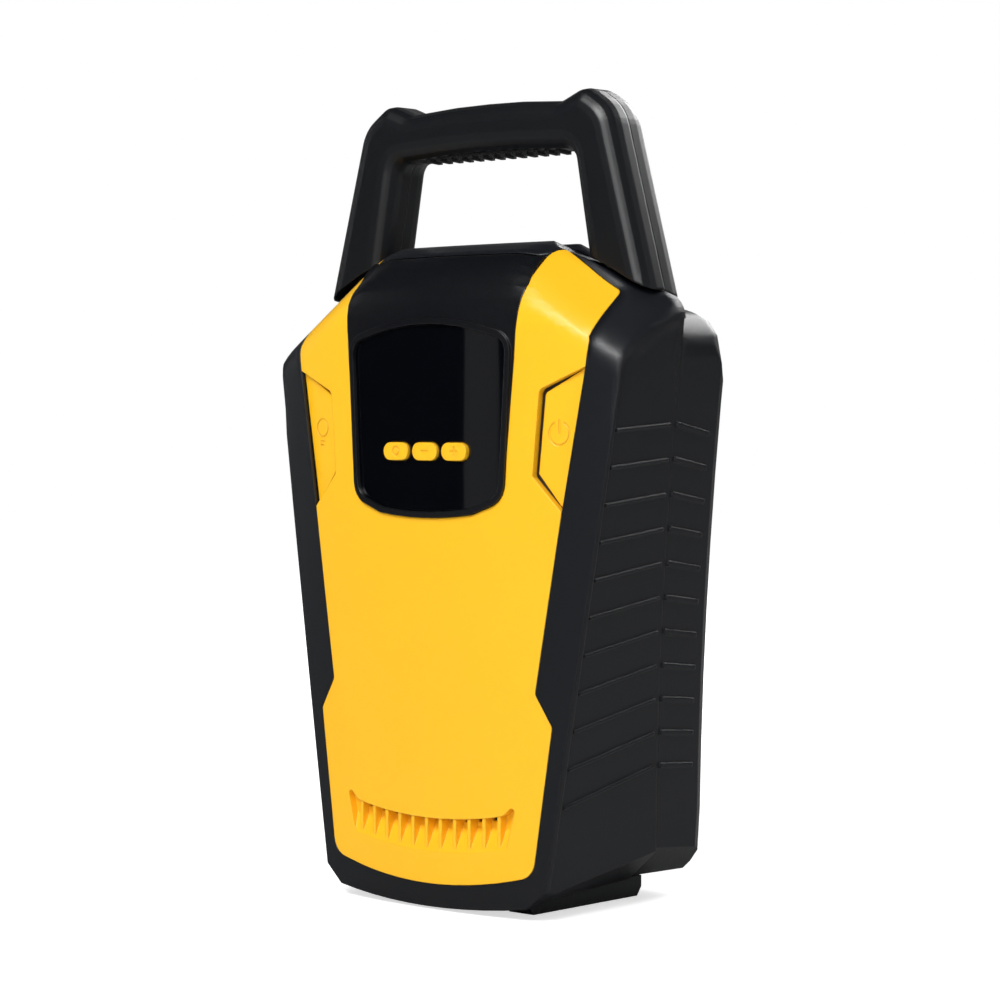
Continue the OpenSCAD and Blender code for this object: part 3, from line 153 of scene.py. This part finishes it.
def yellowSatinAbs():
    # ABS coloured through in warm yellow: even, satin, slightly deeper where it flowed last
    material, tree, shader, place = startMaterial("yellowSatinAbs", coverAbs)
    toneDrift(tree, shader, place, coverAbs)
    grain(tree, shader, place, coverAbs, softEdge(tree, coverAbs["edgeRadius"]))
    return material


handleAbs = {"colour": "#111317", "colourDeep": "#0d0f12", "roughness": 0.36, "ior": 1.53, "driftSize": 60,
             "grainSize": 0.5, "grainStrength": 0.2, "grainDepth": 0.03, "glossSpread": 0.04,
             "edgeRadius": 1.5}


def satinBlackAbs():
    # smoother black ABS of the handle: long soft highlights down its legs
    material, tree, shader, place = startMaterial("satinBlackAbs", handleAbs)
    toneDrift(tree, shader, place, handleAbs)
    grain(tree, shader, place, handleAbs, softEdge(tree, handleAbs["edgeRadius"]))
    return material


bezelAbs = {"colour": "#0e1014", "colourDeep": "#0b0c10", "roughness": 0.3, "ior": 1.53, "driftSize": 60,
            "grainSize": 0.4, "grainStrength": 0.1, "grainDepth": 0.02, "glossSpread": 0.03,
            "edgeRadius": 0.8}


def blackBezelAbs():
    # finer black ABS round the display, a little glossier than the case
    material, tree, shader, place = startMaterial("blackBezelAbs", bezelAbs)
    toneDrift(tree, shader, place, bezelAbs)
    grain(tree, shader, place, bezelAbs, softEdge(tree, bezelAbs["edgeRadius"]))
    return material


smokedPane = {"colour": "#04060b", "colourDeep": "#020306", "roughness": 0.05, "ior": 1.49, "driftSize": 50,
              "coat": 0.5, "edgeRadius": 0.8}


def smokedAcrylic():
    # polished smoked acrylic: near black, with clean reflections
    material, tree, shader, place = startMaterial("smokedAcrylic", smokedPane)
    toneDrift(tree, shader, place, smokedPane)
    shader.inputs["Coat Weight"].default_value = smokedPane["coat"]
    tree.links.new(softEdge(tree, smokedPane["edgeRadius"]), shader.inputs["Normal"])
    return material


smallMoulding = {"roughness": 0.45, "ior": 1.5, "driftSize": 20, "grainSize": 0.6, "grainStrength": 0.2,
                 "grainDepth": 0.03, "glossSpread": 0.04, "edgeRadius": 0.5}


def plainPlastic(name, colour, colourDeep, **changes):
    # small mouldings of one colour: nylon, ABS and PBT all show a faint grain
    look = {**smallMoulding, "colour": colour, "colourDeep": colourDeep, **changes}
    material, tree, shader, place = startMaterial(name, look)
    toneDrift(tree, shader, place, look)
    grain(tree, shader, place, look, softEdge(tree, look["edgeRadius"]))
    return material


metalStock = {"metallic": 1, "roughness": 0.3, "driftSize": 8, "grainSize": 0.3, "grainStrength": 0.3,
              "grainDepth": 0.02, "glossSpread": 0.08, "edgeRadius": 0.3}


def plainMetal(name, colour, colourDeep, stretch=(1, 1, 1), **changes):
    # metals keep the default index; fine scratches run along the way they were drawn or rolled
    look = {**metalStock, "colour": colour, "colourDeep": colourDeep, **changes}
    material, tree, shader, place = startMaterial(name, look)
    drawn = addNode(tree, "Mapping", {"Vector": place, "Scale": stretch})
    toneDrift(tree, shader, place, look)
    grain(tree, shader, drawn.outputs[0], look, softEdge(tree, look["edgeRadius"]))
    return material


lens = {"colour": "#eef3f6", "roughness": 0.08, "ior": 1.585, "transmission": 0.9,
        "flute": 3, "fluteDepth": 0.25, "fluteStrength": 0.6, "waveAtScaleOne": math.tau / 20}


def flutedPolycarbonate():
    # clear polycarbonate with upright flutes on its inside, which spread the work light
    material, tree, shader, place = startMaterial("flutedPolycarbonate", lens)
    shader.inputs["Transmission Weight"].default_value = lens["transmission"]
    scale = lens["waveAtScaleOne"] / (lens["flute"] * mm)
    flutes = addNode(tree, "TexWave", {"Vector": place, "Scale": scale}, bands_direction="X")
    ripple = addNode(tree, "Bump", {"Height": flutes.outputs["Fac"], "Strength": lens["fluteStrength"],
                                    "Distance": lens["fluteDepth"] * mm})
    tree.links.new(ripple.outputs["Normal"], shader.inputs["Normal"])
    return material


finishes = {
    "case_plastic": sparkGrainedAbs, "cover_plastic": yellowSatinAbs, "handle_plastic": satinBlackAbs,
    "bezel_plastic": blackBezelAbs, "window_plastic": smokedAcrylic, "lens_clear": flutedPolycarbonate,
    # moulded soft rubber of the grip pad: dull, dusty black
    "grip_rubber": lambda: plainPlastic(
        "softGripRubber", "#18191b", "#131416", roughness=0.7, grainSize=0.4, grainStrength=0.4),
    # harder rubber of the feet: grey black, no shine
    "foot_rubber": lambda: plainPlastic(
        "footRubber", "#2b2d2e", "#232526", roughness=0.75, grainStrength=0.4),
    # ABS of the port plate and door: a shade paler than the case
    "port_plastic": lambda: plainPlastic("portAbs", "#2a2b2f", "#232428"),
    # steel wire drawn through a die: scratches run along the pin
    "pin_steel": lambda: plainMetal("drawnPinSteel", "#b9bcc0", "#a4a7ab", stretch=(0.1, 1, 1)),
    # glass-filled nylon of the jump lead socket: dull signal red
    "socket_red": lambda: plainPlastic("redNylon", "#8c1d18", "#741612"),
    # turned brass with thin plating: warm and bright, tarnish in patches
    "contact_brass": lambda: plainMetal("platedBrass", "#c79a3a", "#b0852c", roughness=0.28),
    # nylon of the other sockets: satin black
    "socket_black": lambda: plainPlastic("blackNylon", "#1b1c1f", "#151618"),
    # aluminium vapour on a moulding: mirror bright with slight waves
    "reflector_chrome": lambda: plainMetal(
        "vacuumChrome", "#d4d7da", "#c4c7ca", roughness=0.1, grainSize=1.5),
    # lacquered circuit board: glossy green over a faint weave
    "circuit_board": lambda: plainPlastic(
        "solderMask", "#1f6b3e", "#1a5c35", roughness=0.35, grainSize=1.2),
    # moulded battery box: slate grey, dull
    "battery_plastic": lambda: plainPlastic(
        "batteryAbs", "#3b3f46", "#33373d", roughness=0.5, grainSize=0.9),
    # cast lead blades dipped in tin: soft, warm grey metal
    "terminal_metal": lambda: plainMetal(
        "tinnedLead", "#c9c3b4", "#b1ac9e", roughness=0.4, grainSize=0.5),
    # cut closed-cell foam: matt, with open bubbles on the cut face
    "foam": lambda: plainPlastic(
        "closedCellFoam", "#55585c", "#494c50", roughness=0.85, grainSize=0.9, grainStrength=0.8),
    # extruded PVC of the cables: smooth, waxy shine
    "red_insulation": lambda: plainPlastic(
        "redPvc", "#b3261e", "#9c1f18", roughness=0.4, grainSize=0.8, grainStrength=0.1),
    "black_insulation": lambda: plainPlastic(
        "blackPvc", "#17181a", "#121315", roughness=0.4, grainSize=0.8, grainStrength=0.1),
    # PBT relay box: dull blue black
    "relay_plastic": lambda: plainPlastic("relayPbt", "#2f3a52", "#283146"),
    # extruded aluminium: die lines run up the fins
    "sink_aluminium": lambda: plainMetal(
        "extrudedAluminium", "#9aa0a6", "#8b9197", roughness=0.35, stretch=(1, 1, 0.1)),
    # front glass of the display: dark and glossy
    "display_glass": lambda: plainPlastic(
        "displayGlass", "#0f1620", "#0b111a", roughness=0.12, grainSize=1.5, grainStrength=0.02),
    # small switch housings in natural nylon: milky grey
    "switch_plastic": lambda: plainPlastic("switchNylon", "#8e9297", "#7f8388"),
    # glass-filled PBT of the fan: charcoal
    "fan_plastic": lambda: plainPlastic("fanPbt", "#2c2e31", "#242629"),
    # screws blackened in oil: dark metal that wears grey on the edges
    "screw_steel": lambda: plainMetal("blackenedSteel", "#4a4c50", "#3c3e42", roughness=0.4),
}
# the case's upper front, in mm: bowed front, bevels of the dome, slope of the shoulders, sides;
# each bevel and plane has the width over which it runs into the others
shoulder = {"bow": 476, "bowAxis": 418.5, "roll": 38, "crest": 290.5, "domeAt": (0, 34.9, 165.2),
            "bevels": [((0.46, -0.505, 0.73), 145.6, 6), ((0.5, -0.54, 0.675), 145, 6),
                       ((0.7, -0.33, 0.63), 149.5, 4)],
            "planes": [((51, 0, 290.5), (0.5173, 0, 1), 5), ((63, 0, 0), (0.98674, 0, -0.16229), 2.4)],
            "from": 206, "fade": 12, "backTo": -9.3, "backFade": 7, "cell": 4, "depth": 8, "depthFade": 6,
            "pieces": ["front_shell", "front_cover", "display_bezel"],
            # the cover's upper edge dips under the case's lip behind this line and above this height
            "tuck": {"front_cover": 1.8}, "tuckBehind": -27.5, "tuckAbove": 270, "tuckUnder": -0.3,
            # mesh work: weld distance in metres, step for a slope in mm, degrees from which edges stay sharp
            "weld": 1e-7, "slopeStep": 0.05, "sharpFrom": 24}


def blendMax(a, b, width):
    # the larger of two distances, rounded where they meet
    close = np.maximum(width - np.abs(a - b), 0) / width
    return np.maximum(a, b) + close * close * width / 4


def formDistance(points, soft):
    # distance in front of the case's upper front, with sharp or with soft edges
    p = points.copy()
    p[:, 0] = np.abs(p[:, 0])
    across = np.hypot(p[:, 0], p[:, 1] - shoulder["bowAxis"]) - shoulder["bow"] + shoulder["roll"]
    up = p[:, 2] - shoulder["crest"] + shoulder["roll"]
    result = np.hypot(np.maximum(across, 0), np.maximum(up, 0)) + np.minimum(np.maximum(across, up), 0)
    result -= shoulder["roll"]
    for direction, reach, width in shoulder["bevels"]:
        unit = np.array(direction) / np.linalg.norm(direction)
        other = (p - shoulder["domeAt"]) @ unit - reach
        result = blendMax(result, other, width) if soft else np.maximum(result, other)
    for start, direction, width in shoulder["planes"]:
        unit = np.array(direction) / np.linalg.norm(direction)
        other = (p - start) @ unit
        result = blendMax(result, other, width) if soft else np.maximum(result, other)
    return result


def softenShoulder(node):
    # a copy of a moulding whose facets at the shoulders run smoothly into each other
    mesh = node.data.copy()
    mesh.name = node.name + "Soft"
    bm = bmesh.new()
    bm.from_mesh(mesh)
    bmesh.ops.remove_doubles(bm, verts=bm.verts, dist=shoulder["weld"])
    low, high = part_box(node.name)
    for axis in range(3):
        lowest = max(low[axis], shoulder["from"] * mm if axis == 2 else low[axis])
        highest = min(high[axis], shoulder["backTo"] * mm if axis == 1 else high[axis])
        steps = int((highest - lowest) / (shoulder["cell"] * mm))
        for i in range(1, steps + 1):
            across = Vector((axis == 0, axis == 1, axis == 2))
            place = across * (lowest + (highest - lowest) * i / (steps + 1))
            faces = [f for f in bm.faces if max(v.co.z for v in f.verts) > shoulder["from"] * mm]
            cut = set(faces)
            for f in faces:
                cut.update(f.edges)
                cut.update(f.verts)
            bmesh.ops.bisect_plane(bm, geom=list(cut), plane_co=place, plane_no=across,
                                   dist=shoulder["weld"])
    bm.to_mesh(mesh)
    bm.free()
    flat = np.zeros(len(mesh.vertices) * 3)
    mesh.vertices.foreach_get("co", flat)
    points = flat.reshape(-1, 3) / mm
    soft, hard = formDistance(points, True), formDistance(points, False)
    weight = np.clip((hard + shoulder["depth"] + shoulder["depthFade"]) / shoulder["depthFade"], 0, 1)
    weight *= np.clip((shoulder["backTo"] - points[:, 1]) / shoulder["backFade"], 0, 1)
    weight *= np.clip((points[:, 2] - shoulder["from"]) / shoulder["fade"], 0, 1)
    steps = np.eye(3) * shoulder["slopeStep"]
    outward = np.stack([formDistance(points + step, True) - soft for step in steps], 1)
    outward /= np.maximum(np.linalg.norm(outward, axis=1, keepdims=True), 1e-9)
    points -= outward * ((soft - hard) * weight)[:, None]
    tucked = (hard < shoulder["tuckUnder"]) & (points[:, 1] > shoulder["tuckBehind"])
    tucked &= points[:, 2] > shoulder["tuckAbove"]
    points[tucked, 2] -= shoulder["tuck"].get(node.name, 0)
    mesh.vertices.foreach_set("co", (points * mm).ravel())
    if "custom_normal" in mesh.attributes:
        mesh.attributes.remove(mesh.attributes["custom_normal"])
    mesh.polygons.foreach_set("use_smooth", [True] * len(mesh.polygons))
    mesh.set_sharp_from_angle(angle=math.radians(shoulder["sharpFrom"]))
    mesh.update()
    piece = bpy.data.objects.new(node.name + "Soft", mesh)
    bpy.context.scene.collection.objects.link(piece)
    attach(piece, "case")
    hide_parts(node.name)
    return piece


softPieces = [softenShoulder(nodes[name]) for name in shoulder["pieces"]]
print("shoulders softened:", [(piece.name, len(piece.data.vertices)) for piece in softPieces])

made = {}
for node in [*nodes.values(), *softPieces]:
    for slot in node.material_slots:
        finish = slot.material.name
        if slot.material in made.values():
            continue
        if finish not in made:
            made[finish] = finishes[finish]()
        slot.material = made[finish]
print("finishes made:", len(made))

studio = {"view": (0.8805, -0.9869, 0.2131), "turn": (88.43, 0, 42), "lens": 106.2, "sensor": 36,
          # dim room with one lit white sheet behind the pack; reflections see both dimmed
          "ambient": 0.08, "ambientInGloss": 0.012, "sheetFrom": 0.6, "sheetTo": 0.9, "sheetInGloss": 0.12,
          # name: place, target, size, power
          "lamps": {"softboxHigh": ((0.35, -1.7, 2.0), (0, 0, 0.14), (1.3, 1.0), 54),
                    "softboxFront": ((1.1, -2.2, 0.9), (0, 0, 0.15), (0.8, 1.0), 12),
                    "stripRight": ((1.95, 0.35, 0.5), (0, 0, 0.25), (0.06, 1.0), 3.6),
                    "stripWindow": ((-1.15, -1.75, 0.35), (0, 0, 0.23), (0.2, 1.3), 0.16),
                    "softboxBack": ((0.65, 1.5, 1.35), (0, 0, 0.15), (0.5, 0.5), 7),
                    "softboxRear": ((-0.3, 2.2, 1.4), (0, 0, 0.15), (1.3, 1.1), 36),
                    "stripLeft": ((-1.9, -0.5, 0.6), (0, 0, 0.2), (0.12, 1.3), 1.4)}}
# the table's colour for reflections is painted shade: a mid grey that dims its mirror image in the black
# sides
table = {"size": 8, "colour": "#f4f4f4", "paintedShadeInGloss": "#888888", "roughness": 0.6,
         "mirror": 0.12, "polish": 0.12, "glow": 0.72, "glowFar": 1.05, "fadeFrom": 0.3, "fadeTo": 1.3}
white = (1, 1, 1, 1)


def whiteTable():
    # white acrylic table: white to the camera, with a faint mirror image and the shadow
    material, tree, shader, place = startMaterial("whiteTable", table)
    seen = addNode(tree, "LightPath")
    # painted shade: reflections see the table in a mid grey instead of its white, so the black sides mirror
    # it dimmed
    dimmed = addNode(tree, "Mix", {0: seen.outputs["Is Glossy Ray"], 6: toLinear(table["colour"]),
                                   7: toLinear(table["paintedShadeInGloss"])}, data_type="RGBA")
    tree.links.new(dimmed.outputs[2], shader.inputs["Base Color"])
    # the far table fades into the white sheet
    reach = addNode(tree, "VectorMath", {0: place}, operation="LENGTH")
    rise = addNode(tree, "MapRange", {"Value": reach.outputs["Value"], "From Min": table["fadeFrom"],
                                      "From Max": table["fadeTo"], "To Min": table["glow"],
                                      "To Max": table["glowFar"]})
    glow = addNode(tree, "Emission", {"Color": white, "Strength": rise.outputs["Result"]})
    lit = addNode(tree, "AddShader", {0: shader.outputs[0], 1: glow.outputs[0]})
    mirror = addNode(tree, "BsdfAnisotropic", {"Color": white, "Roughness": table["polish"]})
    polished = addNode(tree, "MixShader", {0: table["mirror"], 1: lit.outputs[0], 2: mirror.outputs[0]})
    mixed = addNode(tree, "MixShader", {0: seen.outputs["Is Camera Ray"], 1: shader.outputs[0],
                                        2: polished.outputs[0]})
    tree.links.new(mixed.outputs[0], tree.nodes["Material Output"].inputs["Surface"])
    return material


def layTable():
    half = table["size"] / 2
    corners = [(-half, -half, 0), (half, -half, 0), (half, half, 0), (-half, half, 0)]
    mesh = bpy.data.meshes.new("floor")
    mesh.from_pydata(corners, [], [(0, 1, 2, 3)])
    mesh.materials.append(whiteTable())
    top = bpy.data.objects.new("floor", mesh)
    bpy.context.scene.collection.objects.link(top)


def hangSheet():
    # the world is the room and the white sheet, which the camera sees at full strength everywhere
    world = bpy.data.worlds.new("studioWorld")
    world.use_nodes = True
    tree = world.node_tree
    seen = addNode(tree, "LightPath")
    direct = addNode(tree, "Math", {0: seen.outputs["Is Camera Ray"],
                                    1: seen.outputs["Is Transmission Ray"]}, operation="MAXIMUM")
    behind = -Vector(studio["view"])
    behind.z = 0
    towards = addNode(tree, "VectorMath", {0: addNode(tree, "TexCoord").outputs["Generated"],
                                           1: behind.normalized()}, operation="DOT_PRODUCT")
    sheet = addNode(tree, "MapRange", {"Value": towards.outputs["Value"], "From Min": studio["sheetFrom"],
                                       "From Max": studio["sheetTo"]}, interpolation_type="SMOOTHSTEP")
    mirrored = addNode(tree, "Math", {0: seen.outputs["Is Glossy Ray"], 1: sheet.outputs["Result"]},
                       operation="MULTIPLY")
    dimmed = addNode(tree, "Math", {0: mirrored.outputs[0], 1: studio["sheetInGloss"]},
                     operation="MULTIPLY")
    lit = addNode(tree, "Math", {0: direct.outputs[0], 1: dimmed.outputs[0]}, operation="MAXIMUM")
    # reflections see a darker room than the matt surfaces do
    room = addNode(tree, "MapRange", {"Value": seen.outputs["Is Glossy Ray"], "To Min": studio["ambient"],
                                      "To Max": studio["ambientInGloss"]})
    strength = addNode(tree, "MapRange", {"Value": lit.outputs[0], "To Min": room.outputs["Result"],
                                          "To Max": 1})
    back = tree.nodes["Background"]
    back.inputs["Color"].default_value = white
    tree.links.new(strength.outputs["Result"], back.inputs["Strength"])
    bpy.context.scene.world = world


def hangLamps():
    for name, (place, target, size, power) in studio["lamps"].items():
        lamp = bpy.data.lights.new(name, "AREA")
        lamp.shape = "RECTANGLE"
        lamp.size, lamp.size_y = size
        lamp.energy = power
        holder = bpy.data.objects.new(name, lamp)
        holder.location = place
        holder.rotation_euler = (Vector(target) - Vector(place)).to_track_quat("-Z", "Y").to_euler()
        bpy.context.scene.collection.objects.link(holder)


def placeCamera():
    optics = bpy.data.cameras.new("camera")
    optics.lens = studio["lens"]
    optics.sensor_width = studio["sensor"]
    camera = bpy.data.objects.new("camera", optics)
    camera.location = studio["view"]
    camera.rotation_euler = [math.radians(a) for a in studio["turn"]]
    bpy.context.scene.collection.objects.link(camera)
    bpy.context.scene.camera = camera
    bpy.context.scene.view_settings.view_transform = "Standard"


layTable()
hangSheet()
hangLamps()
placeCamera()
print("table, sheet, lamps and camera set:", len(studio["lamps"]), "lamps")
